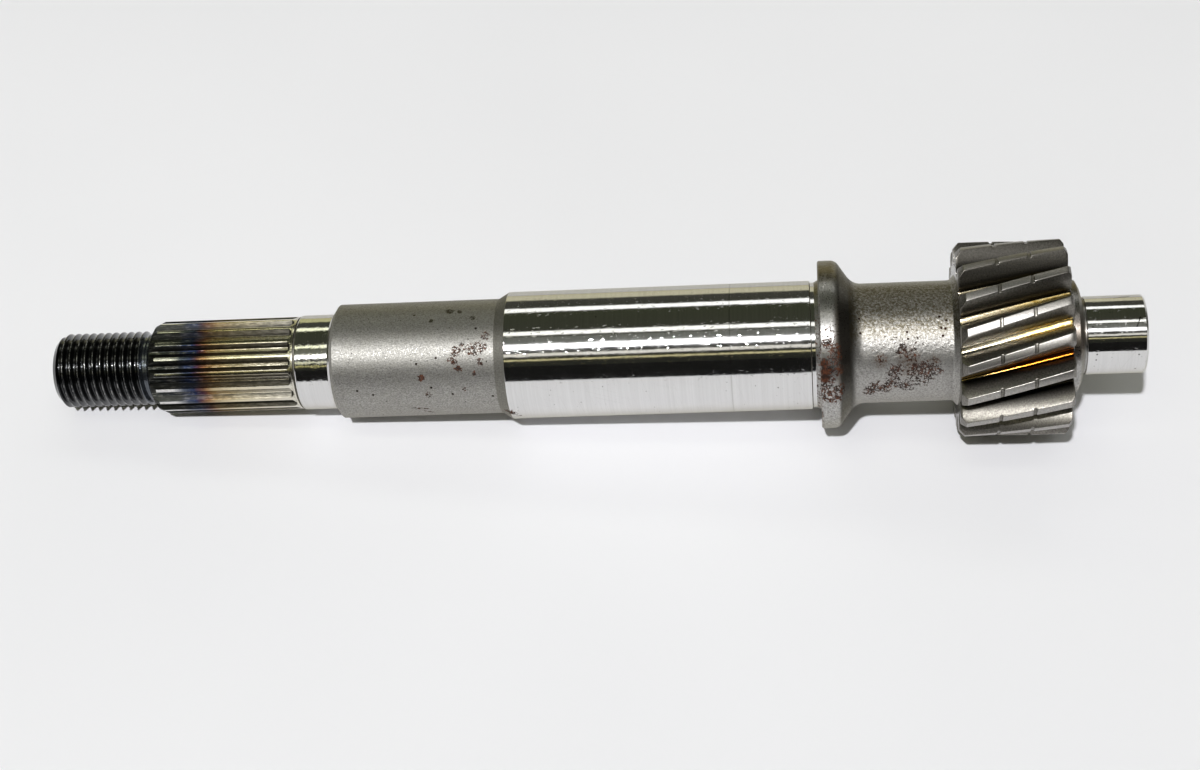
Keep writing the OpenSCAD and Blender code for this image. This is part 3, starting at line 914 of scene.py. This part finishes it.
def tinted():
    """Spline, heat tinted along its length from blue-black through bronze and straw to plain steel."""
    m = Nodes("tinted_steel")
    wob = m.noise((1, 1, 1), scale=0.5, detail=3, rough=0.6)
    along = m.math("ADD", m.x, m.math("MULTIPLY", m.math("SUBTRACT", wob, 0.5), 2.0))
    t = m.math("DIVIDE", m.math("ADD", along, 106.5 - FACE), 24.5)
    tint = m.ramp(
        t,
        [
            (0.0, (0.016, 0.018, 0.018)),
            (0.08, (0.026, 0.030, 0.028)),
            (0.24, (0.034, 0.036, 0.038)),
            (0.29, (0.022, 0.030, 0.062)),
            (0.345, (0.015, 0.024, 0.065)),
            (0.385, (0.050, 0.020, 0.035)),
            (0.425, (0.14, 0.060, 0.026)),
            (0.48, (0.22, 0.145, 0.060)),
            (0.60, (0.27, 0.225, 0.135)),
            (0.8, (0.32, 0.29, 0.22)),
            (1.0, (0.36, 0.34, 0.29)),
        ],
    )
    # The tooth tips are rubbed bare, but still carry the tint in the middle
    tip_tint = m.ramp(
        t,
        [
            (0.20, (0.74, 0.73, 0.71)),
            (0.28, (0.10, 0.115, 0.15)),
            (0.345, (0.035, 0.048, 0.10)),
            (0.385, (0.12, 0.06, 0.06)),
            (0.43, (0.34, 0.20, 0.10)),
            (0.48, (0.52, 0.42, 0.25)),
            (0.6, (0.72, 0.64, 0.44)),
            (1.0, (0.74, 0.71, 0.62)),
        ],
    )
    r = m.radius()
    grain = m.noise((0.5, 3.0, 3.0), scale=2.0, detail=3, rough=0.7)
    m.bump(grain, 0.1, 0.05)
    # Torn metal along the teeth breaks the reflections up
    torn = m.noise((0.7, 2.4, 2.4), detail=4, rough=0.75, offset=(6, 1, 8))
    m.bump(torn, 0.3, 0.07)
    bare = m.mix(0.4, tint, (0.70, 0.67, 0.58))
    colour = m.mix(m.both(m.smooth(torn, 0.5, 0.62), 0.3), tint, bare)
    # Painted shade in the grooves: the flanks are darkest, at the foot above all. The tooth tips are rubbed
    # bright
    flank = m.both(m.smooth(r, 6.53, 6.6), m.smooth(r, 7.2, 7.31, 1.0, 0.0))
    foot = m.both(flank, m.smooth(r, 6.7, 6.95, 1.0, 0.0))
    colour = m.mix(m.both(flank, m.smooth(torn, 0.4, 0.6, 0.78, 0.55)), colour, (0.02, 0.02, 0.016))
    colour = m.mix(m.both(foot, 0.6), colour, (0.012, 0.012, 0.011))
    tip = m.both(m.smooth(r, 7.314, 7.328), m.smooth(torn, 0.34, 0.46, 0.5, 1.0))
    colour = m.mix(tip, colour, tip_tint)
    rough = m.blend(flank, m.smooth(grain, 0.3, 0.7, 0.16, 0.28), m.smooth(grain, 0.3, 0.7, 0.42, 0.54))
    rough = m.blend(tip, rough, 0.14)
    return m.finish(colour, rough)


def teeth():
    """Satin tooth flanks, paler tooth tips and straw-tinted floors, told apart by radius."""
    m = Nodes("tooth_steel")
    r = m.radius()
    grain = m.noise((1, 1, 1), scale=3.6, detail=4, rough=0.78)
    streak = m.noise((0.5, 1.5, 1.5), scale=2.0, detail=3, rough=0.6, offset=(3, 1, 1))
    m.bump(grain, 0.3, 0.08)
    flank = m.ramp(grain, [(0.3, (0.10, 0.093, 0.082)), (0.7, (0.30, 0.285, 0.255))])
    # 1 between the pinion's two end faces
    inner = m.both(m.past(20.85, 21.0), m.past(37.2, 37.35, 1.0, 0.0))
    # Painted shade: the flanks darken towards the tooth floors
    flank = m.mix(m.both(inner, m.smooth(r, 12.0, 13.7, 1.0, 0.0)), flank, (0.042, 0.038, 0.028))
    # Degrees up from the front, followed from the middle of the teeth along their lean
    lean = m.math("MULTIPLY", m.math("SUBTRACT", m.x, FACE + 29.05), math.degrees(TWIST))
    space = m.math("SUBTRACT", m.rise(m.y, m.z), lean)
    right = m.past(23.0, 31.0)
    wide = m.smooth(m.gap(space, 41.6), 8.0, 10.5, 1.0, 0.0)
    floor = m.mix(m.smooth(streak, 0.35, 0.65), (0.60, 0.40, 0.10), (0.74, 0.60, 0.30))
    floor = m.mix(m.both(m.past(26.0, 32.0, 1.0, 0.0), 0.7), floor, (0.62, 0.56, 0.44))
    # One floor keeps a deep orange oil film. A painted glint runs along it as a thin bright line, and film
    # and glint are brighter towards the right
    orange = m.smooth(m.gap(space, 20.5), 8.0, 10.5, 1.0, 0.0)
    line = m.smooth(m.gap(space, 20.0), 0.7, 1.5, 1.0, 0.0)
    film = m.mix(right, (0.10, 0.065, 0.02), (0.20, 0.055, 0.008))
    floor = m.mix(orange, floor, m.mix(line, film, m.mix(right, (0.62, 0.42, 0.12), (1.0, 0.30, 0.012))))
    # Painted shade: the floors lower than about ten degrees over the front horizon are painted dark
    floor = m.mix(m.smooth(space, 8.0, 11.0, 1.0, 0.0), floor, (0.03, 0.028, 0.022))
    torn = m.both(wide, m.past(27.0, 32.0, 1.0, 0.0))
    scuff = m.both(torn, m.smooth(grain, 0.48, 0.56))
    gold = m.smooth(m.math("SUBTRACT", r, m.both(m.both(wide, right), 0.14)), 11.63, 11.72, 1.0, 0.0)
    colour = m.mix(m.both(gold, inner), flank, floor)
    colour = m.mix(m.both(scuff, m.smooth(r, 12.3, 12.8, 1.0, 0.0)), colour, (0.78, 0.77, 0.74))
    tip = m.smooth(r, 14.86, 14.93)
    colour = m.mix(tip, colour, m.ramp(grain, [(0.3, (0.26, 0.25, 0.23)), (0.7, (0.50, 0.48, 0.455))]))
    # Painted shade: the tips towards the top and back are painted darker and browner
    colour = m.mix(m.both(tip, m.smooth(m.y, -5.0, -1.0, 0.0, 0.5)), colour, (0.21, 0.195, 0.165))
    gloss = m.smooth(r, 11.7, 12.3, 0.17, 0.0)
    rough = m.math("SUBTRACT", m.smooth(grain, 0.4, 0.64, 0.42, 0.29), gloss)
    return m.finish(colour, rough)


GROUND, TURNED, COLLAR, NECK = ground(), turned(), collar(), neck()
BLACK, TINTED, TOOTH = black(), tinted(), teeth()


def paint(obj, bands):
    """Gives each face the finish of the stretch of the axis that it lies on."""
    names = []
    for _, mat in bands:
        if mat.name not in names:
            names.append(mat.name)
            obj.data.materials.append(mat)
    for poly in obj.data.polygons:
        x = poly.center.x / MM - FACE
        for stop, mat in bands:
            if x < stop:
                poly.material_index = names.index(mat.name)
                break


# Where each finish stops along the axis, up to a place beyond the part
LAST = 99
paint(middle, [
    (-81.6, TINTED), (-75.88, GROUND), (-48.15, TURNED), (-0.6, GROUND), (4.6, COLLAR), (LAST, NECK),
])
paint(end, [(40.0, COLLAR), (LAST, GROUND)])
paint(relief, [(LAST, BLACK)])
paint(spline, [(LAST, TINTED)])
paint(stud, [(LAST, BLACK)])
paint(pinion, [(LAST, TOOTH)])

for piece in (middle, end, relief, spline, stud, pinion):
    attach(piece, "root")
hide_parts("shaft")

# Floor, light and camera

# The shaft rests on two tooth tips of the pinion and on the spline's end, so the floor leans along X
LEAN = 0.0594
along, side = Vector((1, 0, -LEAN)).normalized(), Vector((0, 1, 0))
up = Vector((LEAN, 0, 1)).normalized()
# Where the spline touches the floor
rest = Vector((FACE - 104.0, 0, -7.33)) * MM


def sheet(name, corners):
    """A flat object with four corners, in metres."""
    mesh = bpy.data.meshes.new(name)
    mesh.from_pydata([tuple(c) for c in corners], [], [(0, 1, 2, 3)])
    obj = bpy.data.objects.new(name, mesh)
    scene.collection.objects.link(obj)
    return obj


# Half a side of the floor, in metres
FLOOR_REACH = 6.0
floor = sheet("floor", [
    rest + along * a * FLOOR_REACH + side * b * FLOOR_REACH for a, b in ((-1, -1), (1, -1), (1, 1), (-1, 1))
])
m = Nodes("floor_paper")
m.gloss(DULL)
paper = m.ramp(m.noise((1, 1, 1), scale=0.01), [(0.3, (0.86, 0.86, 0.888)), (0.7, (0.89, 0.89, 0.918))])
floor.data.materials.append(m.finish(paper, 0.9, 0.0))

# A black flag in front of the shaft that only reflections see: it bounds the floor in the ground steel
# Its distance from the shaft, half its length and its height, in metres
FLAG_AWAY, FLAG_REACH, FLAG_HEIGHT = 0.165, 1.5, 0.08
foot = rest - side * FLAG_AWAY
flag = sheet("flag", [
    foot + along * a * FLAG_REACH + up * b for a, b in ((-1, 0), (1, 0), (1, FLAG_HEIGHT), (-1, FLAG_HEIGHT))
])
flag.visible_camera = False
flag.visible_diffuse = False
flag.visible_shadow = False
m = Nodes("flag_black")
m.gloss(0.0)
flag.data.materials.append(m.finish((0.02, 0.02, 0.02), 1.0, 0.0))


def light(name, elevation, azimuth, distance, size, power, colour):
    """A square panel that faces the shaft. Elevation is from the front, azimuth to the right."""
    e, a = math.radians(elevation), math.radians(azimuth)
    flat = side * -math.cos(a) + along * math.sin(a)
    way = flat * math.cos(e) + up * math.sin(e)
    data = bpy.data.lights.new(name, "AREA")
    data.size = size
    data.energy = power
    data.color = colour
    obj = bpy.data.objects.new(name, data)
    scene.collection.objects.link(obj)
    obj.location = way * distance
    obj.rotation_euler = way.to_track_quat("Z", "Y").to_euler()


light("key", elevation=55.8, azimuth=-15, distance=3.2, size=0.11, power=86.5, colour=(0.99, 0.99, 1.01))

# Light strips that run along the shaft, by height over the front horizon in degrees:
# middle, half width, softness of the edges, brightness and tint
STRIPS = [
    (172.0, 13.0, 5.0, 0.62, (1.0, 0.95, 0.68)),
    (131.2, 4.6, 2.0, 1.5, (1.0, 1.0, 0.98)),
    (81.8, 3.6, 2.0, 1.6, (1.0, 1.0, 0.96)),
    (69.0, 6.0, 3.0, 0.13, (0.96, 1.0, 0.92)),
    (57.5, 4.6, 3.5, 1.6, (1.0, 1.0, 1.0)),
    (42.6, 2.6, 1.6, 0.95, (1.0, 0.97, 0.90)),
    (33.4, 1.3, 1.2, 0.75, (1.0, 0.90, 0.48)),
]
# Dim light between the strips, darkest at the camera's height and below
DIM = [
    (0, (0.02, 0.02, 0.016)),
    (26, (0.025, 0.026, 0.02)),
    (60, (0.05, 0.05, 0.04)),
    (122, (0.045, 0.05, 0.03)),
    (150, (0.06, 0.06, 0.05)),
]
# How far left and right the strips reach, and what is left of them beyond
STRIP_ENDS, STRIP_REST = (0.40, 0.54), 0.06
# Where the strips turn yellow-green towards the threaded end, and their colour there
OLIVE_ENDS, OLIVE_LIGHT = (-0.245, -0.17), (0.90, 0.92, 0.60)

world = bpy.data.worlds.new("studio")
scene.world = world
world.use_nodes = True
sky = Tree(world.node_tree)
sky_x, sky_y, sky_z = sky.split(sky.add("ShaderNodeTexCoord").outputs["Generated"])
height = sky.rise(sky_y, sky_z)
dim = sky.ramp(sky.math("DIVIDE", height, 180.0), [(degrees / 180, colour) for degrees, colour in DIM])
glow = None
for middle_at, half, soft, power, tint in STRIPS:
    inside = sky.smooth(sky.gap(height, middle_at), half - soft / 2, half + soft / 2, 1.0, 0.0)
    strip = sky.scaled(tint, sky.math("MULTIPLY", inside, power))
    glow = strip if glow is None else sky.vec("ADD", glow, strip)
glow = sky.scaled(glow, sky.smooth(sky.math("ABSOLUTE", sky_x), *STRIP_ENDS, 1.0, STRIP_REST))
glow = sky.mix(sky.smooth(sky_x, *OLIVE_ENDS, 1.0, 0.0), glow, sky.vec("MULTIPLY", glow, OLIVE_LIGHT))
background = sky.add("ShaderNodeBackground")
sky.put(sky.vec("ADD", dim, glow), background.inputs[0])
sky.put(background.outputs[0], sky.add("ShaderNodeOutputWorld").inputs[0])

# Camera, solved from the photo: its height over the front in degrees, its distance from the axis, where
# its line of sight crosses the axis, and its lens
HEIGHT, DISTANCE, CAMERA_X, LENS = 43.24, 316.08, -1.24, 60.68
E = math.radians(HEIGHT)
# Along the shaft, from the shaft to the camera, and down across the view
ex = Vector((1, 0, 0))
ee, eg = Vector((0, -math.cos(E), math.sin(E))), Vector((0, -math.sin(E), -math.cos(E)))
right = (ex * 0.99397 - ee * 0.10395 + eg * 0.03479).normalized()
ahead = ex * -0.10456 - ee * 0.99439 + eg * 0.01612
ahead = (ahead - right * ahead.dot(right)).normalized()
down = ahead.cross(right).normalized()
cam_data = bpy.data.cameras.new("camera")
cam_data.sensor_width = 36
cam_data.lens = LENS
cam_data.clip_start = 0.01
camera = bpy.data.objects.new("camera", cam_data)
scene.collection.objects.link(camera)
place = (Vector((FACE + CAMERA_X, 0, 0)) + ee * DISTANCE) * MM
turn = Matrix((right, -down, -ahead)).transposed()
camera.matrix_world = Matrix.Translation(place) @ turn.to_4x4()
scene.camera = camera

scene.view_settings.view_transform = "Standard"
scene.view_settings.look = "None"
scene.view_settings.exposure = 0
scene.view_settings.gamma = 1

bpy.context.view_layer.update()
